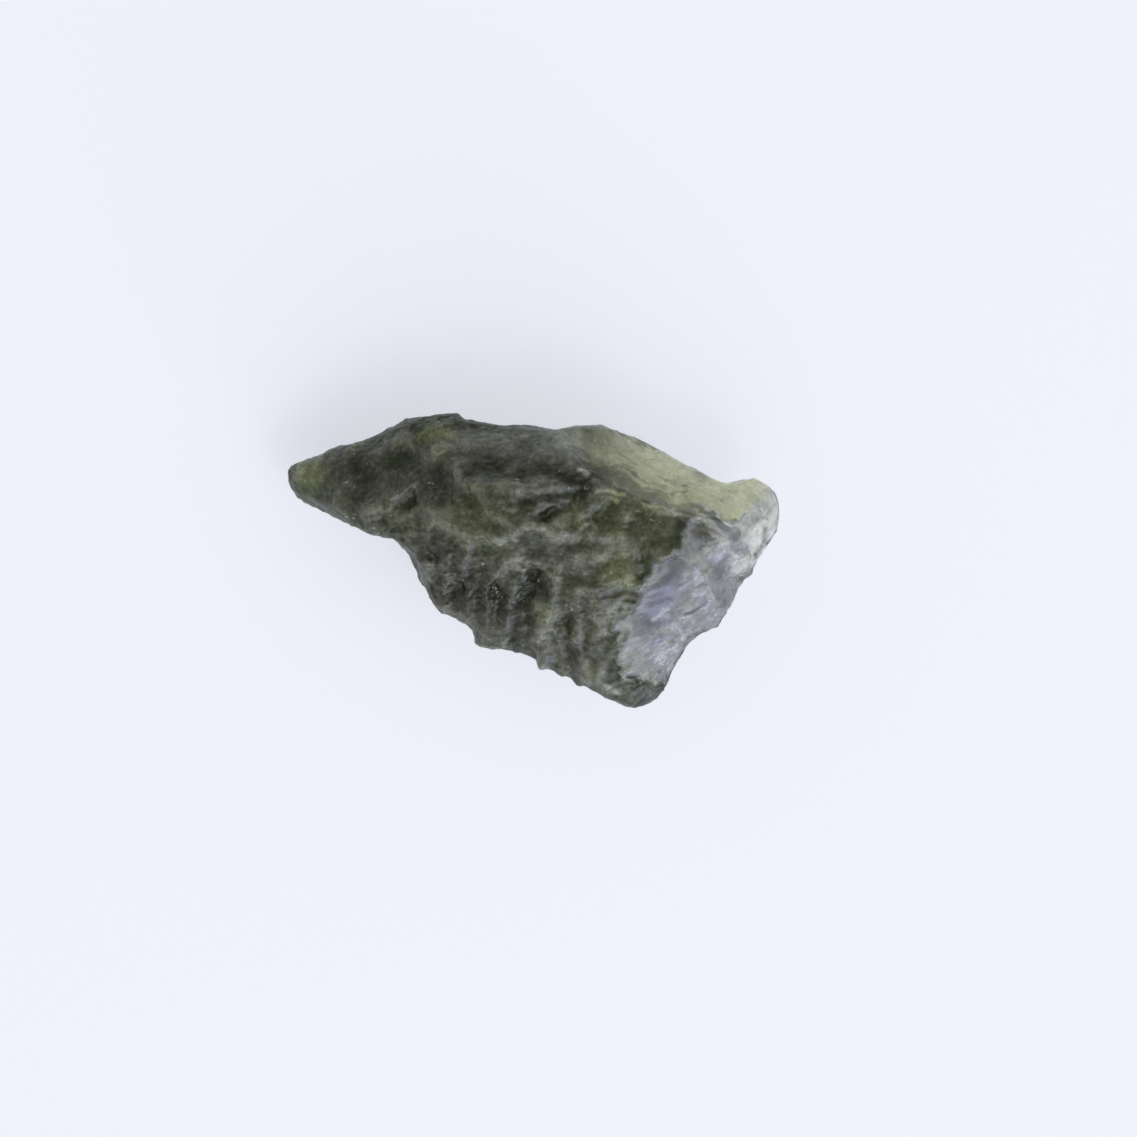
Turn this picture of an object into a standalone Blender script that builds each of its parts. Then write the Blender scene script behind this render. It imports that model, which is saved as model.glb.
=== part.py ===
"""One raw moldavite: a long piece of green natural glass, etched all over, with one end broken off.

The form is worked out as the reach of the skin in each direction from a point inside the stone. Large
faces limit that reach, softly where the skin is old and etched and crisply where the glass is broken.
A rim line limits it to the side. Ridges, flutes, hollows and pits then stand on that form or sink
into it, and a flat spot cut on the underside carries the stone.

Frame: +X runs along the stone from the narrow tip to the broken end, +Y across it to the thin wing
at the back, and +Z up. The origin is in the middle of the stone's box, on the surface it rests on.
Lengths below are in millimetres, and angles in degrees. The mesh itself is in metres.
"""

import itertools
import math

import bmesh
import bpy
import numpy as np

MM = 0.001

# Driving sizes
LENGTH = 22.0
WIDTH = 11.9
HEIGHT = 7.0
HEART = np.array((1.0, 0.0, 3.2))
REST_DEPTH = 0.24

# Fineness of the mesh: squares along, across and up the block that is pushed out to the stone's form,
# and how many times its points are eased towards their neighbours at the end
SQUARES = (46, 30, 13)
EASINGS = 2
EASE = 0.4

# How sharply neighbouring faces meet: a larger number gives a crisper edge
SKIN_SHARPNESS = 12.0
BREAK_SHARPNESS = 26.0
RIM_ROUNDNESS = 5.6

# Old etched faces: the way each one leans, how far it is tilted from level, and a point on it
SKIN_FACES = {
    "crown": (20.0, 4.0, (0.0, 1.0, 6.4)),
    "front_slope": (264.0, 29.0, (0.0, -0.9, 5.5)),
    "tip_slope": (184.0, 21.0, (-6.0, 0.5, 4.6)),
    "left_shoulder": (126.0, 33.0, (-5.6, 2.4, 4.6)),
}
UNDER_FACES = {
    "under_tip": (180.0, 8.0, (-3.2, 0.0, 0.0)),
    "under_front": (262.0, 38.0, (0.0, -2.0, 0.0)),
    "under_back": (94.0, 43.0, (0.0, 1.7, 0.0)),
    "under_end": (-14.0, 40.0, (6.2, 0.0, 0.0)),
}

# Broken faces, where the glass parted cleanly
BREAK_FACES = {
    "wing": (82.0, 30.0, (5.0, 3.4, 5.95)),
    "end_main": (-40.0, 42.0, (6.0, -0.3, 6.0)),
    "end_far": (-20.0, 55.0, (8.7, 0.5, 4.6)),
}

# The rim seen from above, counter-clockwise from the tip, with its height
RIM = (
    (-11.0, -0.1, 2.0), (-10.3, -0.95, 2.0), (-9.3, -1.2, 2.0), (-7.3, -1.5, 2.1), (-6.6, -1.7, 2.2),
    (-6.0, -1.6, 2.2), (-5.25, -1.85, 2.3), (-4.55, -2.25, 2.4), (-3.5, -3.1, 2.5), (-2.9, -3.65, 2.6),
    (-2.3, -4.05, 2.6), (-1.3, -4.3, 2.7), (0.0, -5.12, 2.8), (1.5, -5.15, 2.9), (3.0, -5.25, 3.0),
    (4.6, -5.55, 3.0), (7.0, -5.95, 2.8), (8.0, -5.4, 2.7), (8.25, -4.0, 2.7), (8.7, -2.4, 2.8),
    (10.0, -0.7, 2.9), (10.2, 0.7, 3.1), (10.55, 1.9, 3.3), (11.0, 4.0, 3.9), (10.6, 5.1, 4.3),
    (9.3, 5.7, 4.5), (8.5, 5.2, 4.6), (7.0, 5.25, 4.7), (5.6, 5.6, 4.7), (3.2, 5.93, 4.5),
    (2.1, 5.93, 4.4), (1.0, 5.65, 4.3), (0.0, 5.25, 4.2), (-2.0, 4.7, 3.9), (-3.9, 4.65, 3.5),
    (-4.4, 4.75, 3.5), (-5.6, 4.05, 3.1), (-6.4, 3.35, 2.9), (-7.0, 3.0, 2.8), (-8.5, 1.95, 2.5),
    (-10.0, 1.0, 2.2), (-10.8, 0.4, 2.1),
)

# Crests on the upper side: height, half width, and the points they run through
CRESTS = {
    "upper_crest": (0.42, 0.5, ((-4.5, 2.4), (-3.5, 3.3), (-1.5, 3.9), (1.8, 3.8), (4.0, 3.5))),
    "wing_crest": (0.2, 0.4, ((4.0, 3.5), (5.2, 3.3), (6.5, 3.15), (7.2, 3.6), (9.2, 3.5))),
    "middle_crest": (0.52, 0.45, ((-3.4, 1.7), (-2.4, 1.5), (-1.2, 1.9), (0.5, 2.6), (2.6, 3.3))),
    "long_crest": (0.5, 0.42, ((-4.2, 0.0), (-2.0, 0.2), (-0.2, 0.1), (1.0, 1.0), (2.0, 1.0), (3.0, 1.7))),
    "lower_crest": (0.42, 0.4, ((-0.4, -0.8), (1.0, -0.5), (2.4, -0.2), (3.2, 0.1))),
    "brow": (0.42, 0.5, ((2.6, -1.5), (3.5, -1.2), (4.5, -0.7), (5.2, 0.1))),
    "shelf": (0.36, 0.45, ((3.4, 1.3), (4.6, 1.1), (5.8, 1.0), (7.0, 1.1))),
    "tip_crest": (0.42, 0.42, ((-7.0, -0.5), (-6.2, 0.1), (-5.6, 0.7), (-5.4, 1.3))),
    "shoulder_crest": (0.28, 0.4, ((-6.8, 2.3), (-6.0, 2.5), (-5.2, 2.3), (-4.5, 2.6))),
    "flute_1": (0.26, 0.36, ((-4.1, -0.5), (-4.0, -1.3), (-3.7, -2.4))),
    "flute_2": (0.28, 0.36, ((-3.2, -1.0), (-3.1, -2.0), (-2.5, -3.4))),
    "flute_3": (0.3, 0.36, ((-2.3, -0.9), (-2.3, -1.7), (-1.7, -2.8), (-1.4, -3.9))),
    "flute_4": (0.4, 0.38, ((-0.4, -1.0), (-0.8, -2.2), (-0.6, -3.6), (-0.3, -4.8))),
    "flute_5": (0.3, 0.34, ((0.9, -1.2), (0.4, -2.1), (0.3, -3.4), (0.1, -4.6))),
    "flute_6": (0.4, 0.45, ((2.0, -1.1), (2.1, -2.5), (2.1, -3.6), (2.6, -4.8))),
    "flute_7": (0.32, 0.36, ((3.2, -1.6), (3.6, -2.8), (3.9, -3.6), (4.5, -5.1))),
    "flute_8": (0.24, 0.4, ((4.3, -1.6), (4.6, -3.4), (5.1, -4.9))),
}

# Hollows on the upper side: centre, radius and depth
HOLLOWS = {
    "tip_hollow": (-5.2, 0.35, 0.6, 0.4),
    "upper_valley": (-0.2, 0.95, 0.45, 0.28),
    "long_valley": (-2.4, 1.0, 0.6, 0.26),
    "crown_valley": (1.4, 2.6, 0.65, 0.34),
    "green_pit": (3.4, 2.2, 0.5, 0.34),
    "shelf_pit": (5.7, 0.25, 0.55, 0.34),
    "dark_pit": (1.4, -1.7, 0.55, 0.4),
    "left_pit": (-3.6, -1.7, 0.4, 0.26),
    "low_pit_1": (-1.9, -3.9, 0.55, 0.24),
    "low_pit_2": (0.7, -4.3, 0.5, 0.24),
    "low_pit_3": (3.2, -3.2, 0.55, 0.3),
    "shoulder_pan": (-5.4, 3.2, 0.8, 0.14),
    "back_pit": (-2.2, 2.9, 0.8, 0.18),
}

# Troughs that hollow the underside below the thin back: height, half width, and the points they run
# through
UNDERCUTS = {
    "wing_undercut": (2.4, 2.4, ((4.6, 3.1), (8.6, 2.8))),
    "back_undercut": (1.6, 2.2, ((0.8, 3.7), (4.4, 3.7))),
}

# Shell-shaped scars on the broken end: centre, radius and depth
SCARS = {
    "main_scar": (7.3, -0.7, 2.3, 0.3),
    "round_scar": (7.75, 2.6, 0.75, 0.2),
    "low_scar": (7.2, -3.4, 1.3, 0.18),
    "far_scar": (9.5, 1.2, 1.2, 0.2),
    "corner_scar": (7.0, -5.2, 0.7, 0.2),
}

# Etched pits that cover the skin, drawn out along the stone
PIT_SPACING = 1.9
PIT_DEPTH = 0.6
PIT_DRAW = 1.8
SINE_ROWS = np.array(((127.1, 311.7, 74.7), (269.5, 183.3, 246.1), (113.5, 271.9, 124.6)))
SINE_SPREAD = 4375.85

# Glass
GLASS_COLOUR = (0.12, 0.16, 0.05, 1.0)
GLASS_ROUGHNESS = 0.3
GLASS_METALLIC = 0.0


def clear_scene():
    """Removes whatever the scene holds."""
    for thing in list(bpy.data.objects):
        bpy.data.objects.remove(thing, do_unlink=True)


def face_normal(lean, tilt):
    """The outward normal of a face that is tilted from level and leans the given way."""
    turn, slope = math.radians(lean), math.radians(tilt)
    level = math.sin(slope)
    return np.array((level * math.cos(turn), level * math.sin(turn), math.cos(slope)))


def face_pull(ways, faces, under=False):
    """How strongly each face limits the reach in each direction: one over the reach up to that face."""
    pulls = []
    for lean, tilt, point in faces.values():
        normal = face_normal(lean, tilt) * ((1, 1, -1) if under else (1, 1, 1))
        pulls.append(np.maximum(ways @ normal, 0.0) / np.dot(normal, np.array(point) - HEART))
    return np.array(pulls)


def rim_at(turn):
    """The rim's reach and height above the heart at each angle, on a smooth closed curve through RIM."""
    points = np.array(RIM) - HEART
    angles = np.arctan2(points[:, 1], points[:, 0])
    order = np.argsort(angles)
    angles, points = angles[order], points[order]
    reach = np.hypot(points[:, 0], points[:, 1])
    around = 2 * math.pi
    angles = np.concatenate((angles[-2:] - around, angles, angles[:2] + around))
    values = np.stack((reach, points[:, 2]))
    values = np.concatenate((values[:, -2:], values, values[:, :2]), axis=1)
    slopes = (values[:, 2:] - values[:, :-2]) / (angles[2:] - angles[:-2])
    slopes = np.pad(slopes, ((0, 0), (1, 1)), mode="edge")
    at = np.clip(np.searchsorted(angles, turn) - 1, 0, len(angles) - 2)
    gap = angles[at + 1] - angles[at]
    part = (turn - angles[at]) / gap
    start, end = values[:, at], values[:, at + 1]
    leave, arrive = slopes[:, at] * gap, slopes[:, at + 1] * gap
    cubic = part * part * (3 - 2 * part)
    return (
        start + (end - start) * cubic
        + leave * part * (1 - part) ** 2
        - arrive * part * part * (1 - part)
    )


def skin_reach(ways):
    """The reach of the old skin in each direction: faces above and below, and the rim, met softly."""
    level = np.hypot(ways[:, 0], ways[:, 1])
    rim, lift = rim_at(np.arctan2(ways[:, 1], ways[:, 0]))
    off_rim = ways[:, 2] - level * lift / rim
    side = np.sqrt((level / rim) ** 2 + (off_rim / RIM_ROUNDNESS) ** 2)
    base = np.maximum(-ways[:, 2], 0.0) / (HEART[2] + REST_DEPTH)
    pulls = np.concatenate((face_pull(ways, SKIN_FACES), face_pull(ways, UNDER_FACES, True), [side, base]))
    return (pulls**SKIN_SHARPNESS).sum(axis=0) ** (-1 / SKIN_SHARPNESS)


def stone_reach(ways):
    """The reach of the whole stone: the old skin, cut crisply by the broken faces."""
    skin = skin_reach(ways)
    breaks = face_pull(ways, BREAK_FACES)
    total = skin**-BREAK_SHARPNESS + (breaks**BREAK_SHARPNESS).sum(axis=0)
    return total ** (-1 / BREAK_SHARPNESS)


def outline_share(ways, turns=720, levels=181):
    """How much the finished form must widen at each direction's angle so that its outline is the rim."""
    turn = np.linspace(-math.pi, math.pi, turns + 1)
    rise = np.linspace(-math.pi / 2, math.pi / 2, levels)
    turn_grid, rise_grid = np.meshgrid(turn, rise, indexing="ij")
    level = np.cos(rise_grid)
    rays = np.stack((level * np.cos(turn_grid), level * np.sin(turn_grid), np.sin(rise_grid)), axis=-1)
    reach = stone_reach(rays.reshape(-1, 3)).reshape(level.shape) * level
    share = rim_at(turn)[0] / reach.max(axis=1)
    return np.interp(np.arctan2(ways[:, 1], ways[:, 0]), turn, share)


def smooth_step(low, high, values):
    """0 below low, 1 above high, and an even S between them."""
    part = np.clip((values - low) / (high - low), 0.0, 1.0)
    return part * part * (3 - 2 * part)


def line_distance(points, line):
    """How far each point, seen from above, is from a line through several points."""
    nearest = np.full(len(points), np.inf)
    for start, end in itertools.pairwise(np.array(line)):
        run = end - start
        part = np.clip((points[:, :2] - start) @ run / (run @ run), 0.0, 1.0)
        foot = start + part[:, None] * run
        nearest = np.minimum(nearest, np.linalg.norm(points[:, :2] - foot, axis=1))
    return nearest


def crest_height(points):
    """Sharp crests whose sides fall away in a hollow curve."""
    height = np.zeros(len(points))
    for rise, width, line in CRESTS.values():
        height += rise * np.exp(-line_distance(points, line) / width)
    return height


def undercut_rise(points, normals):
    """How far the underside rises in its troughs: most along their lines, and nothing a width away."""
    below = smooth_step(0.0, 0.5, -normals[:, 2])
    rises = []
    for rise, width, line in UNDERCUTS.values():
        rises.append(rise * (1 - smooth_step(0.0, width, line_distance(points, line))))
    return np.max(rises, axis=0) * below


def bowl_depth(points, bowls):
    """Round bowls, each deepest in its middle and gone at one and a half times its radius."""
    depth = np.zeros(len(points))
    for x, y, radius, most in bowls.values():
        away = np.hypot(points[:, 0] - x, points[:, 1] - y) / radius
        depth += most * (1 - smooth_step(0.0, 1.5, away))
    return depth


def scatter(cells):
    """Three numbers from 0 to 1 for each cell, the same each time, from the ends of large sines."""
    return np.modf(np.abs(np.sin(cells @ SINE_ROWS.T)) * SINE_SPREAD)[0]


def pit_height(points, spacing):
    """Bowls side by side with sharp edges between them: the square of the way to the nearest centre."""
    places = points / spacing
    home = np.floor(places)
    nearest = np.full(len(points), np.inf)
    for step in itertools.product((-1, 0, 1), repeat=3):
        cell = home + step
        away = places - cell - scatter(cell)
        nearest = np.minimum(nearest, (away**2).sum(axis=1))
    return nearest - 0.25


def relief(points, normals, on_break):
    """How far each point of the plain form moves along its normal."""
    upper = smooth_step(-0.1, 0.4, normals[:, 2])
    clear_of_rest = smooth_step(0.3, 1.3, points[:, 2])
    skin = (crest_height(points) - bowl_depth(points, HOLLOWS)) * upper
    skin += PIT_DEPTH * pit_height(points / (PIT_DRAW, 1.0, 1.0), PIT_SPACING) * clear_of_rest
    scars = -bowl_depth(points, SCARS) * upper
    return skin * (1 - on_break) + scars * on_break


def even_block(squares):
    """A closed cube, as a bmesh, with its own number of squares along each axis."""
    shape = bmesh.new()
    bmesh.ops.create_cube(shape, size=2.0)
    for axis, count in enumerate(squares):
        along = [edge for edge in shape.edges if edge.verts[0].co[axis] != edge.verts[1].co[axis]]
        bmesh.ops.subdivide_edges(shape, edges=along, cuts=count - 1, use_grid_fill=False)
    return shape


def stone_ways(block_points):
    """Directions from the heart, spread evenly over a body of the stone's proportions."""
    spread = np.tan(block_points * math.pi / 4)
    spread /= np.linalg.norm(spread, axis=1, keepdims=True)
    ways = spread * (LENGTH, WIDTH, HEIGHT)
    return ways / np.linalg.norm(ways, axis=1, keepdims=True)


def positions(shape):
    """The places of a bmesh's vertices as an array."""
    return np.array([corner.co for corner in shape.verts])


def vertex_normals(shape):
    """The normals of a bmesh's vertices as an array."""
    return np.array([corner.normal for corner in shape.verts])


def place(shape, points):
    """Moves a bmesh's vertices to the given places and works out its normals again."""
    for corner, point in zip(shape.verts, points):
        corner.co = point
    shape.normal_update()


def ease(shape):
    """Takes the steps of the squares off the sharpest crests and rims."""
    for _ in range(EASINGS):
        bmesh.ops.smooth_vert(
            shape, verts=shape.verts[:], factor=EASE, use_axis_x=True, use_axis_y=True, use_axis_z=True
        )


def fit(shape):
    """Brings the stone to its length, width and height, with the middle of its plan at the origin."""
    points = positions(shape)
    low, high = points.min(axis=0), points.max(axis=0)
    middle = (low + high) / 2
    middle[2] = 0.0
    sizes = high - low
    sizes[2] = high[2]
    place(shape, (points - middle) * (LENGTH, WIDTH, HEIGHT) / sizes)


def cut_flat(shape):
    """Cuts off what lies under the rest plane and closes the cut with one flat face."""
    parts = shape.verts[:] + shape.edges[:] + shape.faces[:]
    cut = bmesh.ops.bisect_plane(
        shape, geom=parts, plane_co=(0, 0, 0), plane_no=(0, 0, 1), dist=1e-6, clear_inner=True
    )
    edges = [part for part in cut["geom_cut"] if isinstance(part, bmesh.types.BMEdge)]
    bmesh.ops.contextual_create(shape, geom=edges)


def stone_mesh():
    """The stone as a mesh in metres: plain form, then its relief, then the flat spot it rests on."""
    shape = even_block(SQUARES)
    ways = stone_ways(positions(shape))
    reach = stone_reach(ways)
    points = ways * reach[:, None]
    points[:, :2] *= outline_share(ways)[:, None]
    points += HEART
    place(shape, points)
    points[:, 2] += undercut_rise(points, vertex_normals(shape))
    place(shape, points)
    normals = vertex_normals(shape)
    on_break = smooth_step(1.0, 1.08, skin_reach(ways) / reach)
    place(shape, points + normals * relief(points, normals, on_break)[:, None])
    ease(shape)
    fit(shape)
    cut_flat(shape)
    bmesh.ops.recalc_face_normals(shape, faces=shape.faces[:])
    bmesh.ops.scale(shape, vec=(MM, MM, MM), verts=shape.verts[:])
    mesh = bpy.data.meshes.new("moldavite")
    shape.to_mesh(mesh)
    shape.free()
    return mesh


def glass_material():
    """Dark green natural glass with a satin, etched skin."""
    material = bpy.data.materials.new("moldavite_glass")
    material.use_nodes = True
    shader = material.node_tree.nodes["Principled BSDF"]
    shader.inputs["Base Color"].default_value = GLASS_COLOUR
    shader.inputs["Roughness"].default_value = GLASS_ROUGHNESS
    shader.inputs["Metallic"].default_value = GLASS_METALLIC
    return material


def main():
    """Builds the stone."""
    clear_scene()
    stone = bpy.data.objects.new("moldavite", stone_mesh())
    bpy.context.scene.collection.objects.link(stone)
    stone.data.materials.append(glass_material())
    stone.data.shade_smooth()


main()
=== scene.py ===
"""The looks of one raw moldavite: etched green glass, see-through at its thin back, broken at one end.

The stone is a surface worked out with numpy. Each point of a fine block of squares is pushed out along
a direction from a heart inside the stone until the stone's faces and rim stop it, and then moved along
its normal by the relief of crests, flutes, hollows, scars and pits. Lengths inside the form are in
millimetres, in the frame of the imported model: +X towards the broken end, +Y towards the thin wing, and
+Z up from the surface that the stone rests on. Everything put into the scene is in metres.
"""

import itertools
import logging
import math
from dataclasses import dataclass, field
from enum import Enum

import bpy
import numpy as np
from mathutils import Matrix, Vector


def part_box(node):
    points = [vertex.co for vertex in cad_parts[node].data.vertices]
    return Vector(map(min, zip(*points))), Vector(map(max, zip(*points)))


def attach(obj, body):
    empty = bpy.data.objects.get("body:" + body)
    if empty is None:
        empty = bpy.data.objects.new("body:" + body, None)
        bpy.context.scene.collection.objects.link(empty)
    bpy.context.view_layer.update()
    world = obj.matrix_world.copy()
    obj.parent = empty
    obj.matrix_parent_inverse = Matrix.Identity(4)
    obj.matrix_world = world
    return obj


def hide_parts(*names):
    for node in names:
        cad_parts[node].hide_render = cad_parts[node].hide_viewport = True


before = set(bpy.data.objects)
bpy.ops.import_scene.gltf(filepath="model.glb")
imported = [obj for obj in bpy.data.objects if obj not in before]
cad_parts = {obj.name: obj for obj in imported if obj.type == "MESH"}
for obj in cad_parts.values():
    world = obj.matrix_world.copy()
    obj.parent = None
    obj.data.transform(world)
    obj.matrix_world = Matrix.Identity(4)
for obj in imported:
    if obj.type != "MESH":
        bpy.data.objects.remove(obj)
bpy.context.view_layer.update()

MM = 0.001
TINY = 1e-12
NODE = "moldavite"
Array = np.ndarray
Point2 = tuple[float, float]
Point3 = tuple[float, float, float]
Colour = tuple[float, float, float, float]
Tree = bpy.types.NodeTree
Socket = bpy.types.NodeSocket
SCATTER_ROWS = np.array(((127.1, 311.7, 74.7), (269.5, 183.3, 246.1), (113.5, 271.9, 124.6)))
SCATTER_SCALE = 4375.85

log = logging.getLogger("moldavite")


class Skin(Enum):
    """What the mesh's attributes hold: how etched the surface is, from 0 to 1, and its tone, which carries
    painted shade, highlights, glow and reflections.
    """

    ETCHED = "etched"
    TONE = "tone"


@dataclass(frozen=True)
class Ramp:
    """An even S that leaves 0 at its low value and reaches 1 at its high one."""

    low: float
    high: float

    def of(self, values: Array) -> Array:
        """The S at each value: three times the square less twice the cube of the share of the way."""
        part = np.clip((values - self.low) / (self.high - self.low), 0.0, 1.0)
        return part * part * (3 - 2 * part)


def scatter(cells: Array, salt: float) -> Array:
    """Even numbers that look random: the ends of large multiples of sines of each cell's place.

    Args:
        cells: Whole-number cell places, one row each.
        salt: A number that gives each pattern its own draw.

    Returns:
        Three numbers from 0 to 1 for each cell, the same in every run.
    """
    return np.modf(np.abs(np.sin(cells @ SCATTER_ROWS.T + salt)) * SCATTER_SCALE)[0]


def rolling(points: Array, spacing: float, salt: float) -> Array:
    """Soft random hills: random numbers at the corners of cells, blended by an even S inside each.

    Args:
        points: Places in millimetres.
        spacing: The size of a cell.
        salt: A number that gives each pattern its own draw.

    Returns:
        Three separate heights from -1 to 1 at each place.
    """
    places = points / spacing
    home = np.floor(places)
    part = places - home
    part = part * part * (3 - 2 * part)
    total = np.zeros_like(points)
    for corner in itertools.product((0, 1), repeat=3):
        share = np.prod(np.where(corner, part, 1 - part), axis=1)
        total += share[:, None] * scatter(home + corner, salt)
    return total * 2 - 1


@dataclass(frozen=True)
class Hills:
    """Soft random hills: their height, how far apart they stand, and the salt of their draw."""

    height: float
    spacing: float
    salt: float

    def at(self, points: Array) -> Array:
        """Three separate heights at each place: the height times the rolling hills."""
        return self.height * rolling(points, self.spacing, self.salt)


def drawn_out(points: Array, turn: float, draw: float) -> Array:
    """The places turned about the upright axis and shortened along it, so that patterns come out long.

    Args:
        points: Places in millimetres.
        turn: The direction in which a pattern is drawn out, in degrees from +X.
        draw: How many times longer than wide it comes out.

    Returns:
        The places to read a pattern at.
    """
    angle = math.radians(turn)
    along = (points[:, 0] * math.cos(angle) + points[:, 1] * math.sin(angle)) / draw
    across = points[:, 1] * math.cos(angle) - points[:, 0] * math.sin(angle)
    return np.stack((along, across, points[:, 2]), axis=1)


def blend(start: Array, finish: Point3, share: Array) -> Array:
    """Each place's colour moved towards one colour by its share of the way.

    Args:
        start: A colour for each place.
        finish: The colour they move towards.
        share: How far each moves, from 0 to 1.

    Returns:
        The blended colours.
    """
    return start + (np.array(finish) - start) * share[:, None]


@dataclass(frozen=True)
class Face:
    """A large flat face: the way it leans, its tilt from level in degrees, and a point on it."""

    lean: float
    tilt: float
    through: Point3
    under: bool = False

    def normal(self) -> Array:
        """The outward normal of the face."""
        turn, slope = math.radians(self.lean), math.radians(self.tilt)
        level, rise = math.sin(slope), math.cos(slope)
        return np.array((level * math.cos(turn), level * math.sin(turn), -rise if self.under else rise))

    def pull(self, ways: Array, heart: Array) -> Array:
        """One over the reach from the heart in each direction, 0 where it never meets the face."""
        normal = self.normal()
        return np.maximum(ways @ normal, 0.0) / np.dot(normal, np.array(self.through) - heart)


@dataclass(frozen=True)
class Stroke:
    """A line seen from above, in millimetres, with a height at it and a width across it."""

    rise: float
    width: float
    line: tuple[Point2, ...]
    spread: float = 1.4
    trough: Ramp = Ramp(0.0, 1.0)

    def away(self, points: Array) -> Array:
        """How far each place is from the nearest piece of the line, in widths."""
        nearest = np.full(len(points), np.inf)
        for start, end in itertools.pairwise(np.array(self.line)):
            run = end - start
            part = np.clip((points[:, :2] - start) @ run / (run @ run), 0.0, 1.0)
            foot = start + part[:, None] * run
            nearest = np.minimum(nearest, np.linalg.norm(points[:, :2] - foot, axis=1))
        return nearest / self.width

    def crest(self, points: Array) -> Array:
        """A worn crest: the rise over the square of one more than the squared way to the line."""
        return self.rise / (1 + (self.away(points) / self.spread) ** 2) ** 2

    def soft(self, points: Array) -> Array:
        """The depth of a soft trough: the rise times an even S that ends one width away."""
        return self.rise * (1 - self.trough.of(self.away(points)))


@dataclass(frozen=True)
class Bowl:
    """A round hollow seen from above: its centre, radius and depth in millimetres."""

    x: float
    y: float
    radius: float
    depth: float
    worn: Ramp = Ramp(0.0, 1.5)

    def away(self, points: Array) -> Array:
        """How far each place is from the centre, in radii."""
        return np.hypot(points[:, 0] - self.x, points[:, 1] - self.y) / self.radius

    def soft(self, points: Array) -> Array:
        """The depth of a worn hollow: an even S from its middle to one and a half radii."""
        return self.depth * (1 - self.worn.of(self.away(points)))

    def crisp(self, points: Array) -> Array:
        """The depth of a shell-shaped scar: one less the square of the way out, ending in an edge."""
        away = self.away(points)
        return self.depth * np.maximum(1 - away * away, 0.0)


@dataclass(frozen=True)
class Pits:
    """Bowls etched side by side with sharp edges between them, drawn out along a direction."""

    spacing: float
    depth: float
    draw: float
    turn: float
    salt: float
    middle: float = 0.25

    def height(self, points: Array) -> Array:
        """The bowls' height: depth times the squared way to the nearest centre, less its usual value.

        The way is in spacings.

        Args:
            points: Places on the stone.

        Returns:
            The height at each place, about evenly above and below 0.
        """
        places = drawn_out(points, self.turn, self.draw) / self.spacing
        home = np.floor(places)
        nearest = np.full(len(points), np.inf)
        for step in itertools.product((-1, 0, 1), repeat=3):
            away = places - home - step - scatter(home + step, self.salt)
            nearest = np.minimum(nearest, (away**2).sum(axis=1))
        return self.depth * (nearest - self.middle)


SMOOTH_SCAR = Stroke(1.0, 1.7, ((7.0, 0.6), (6.9, -0.8), (6.7, -1.8)))


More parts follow.
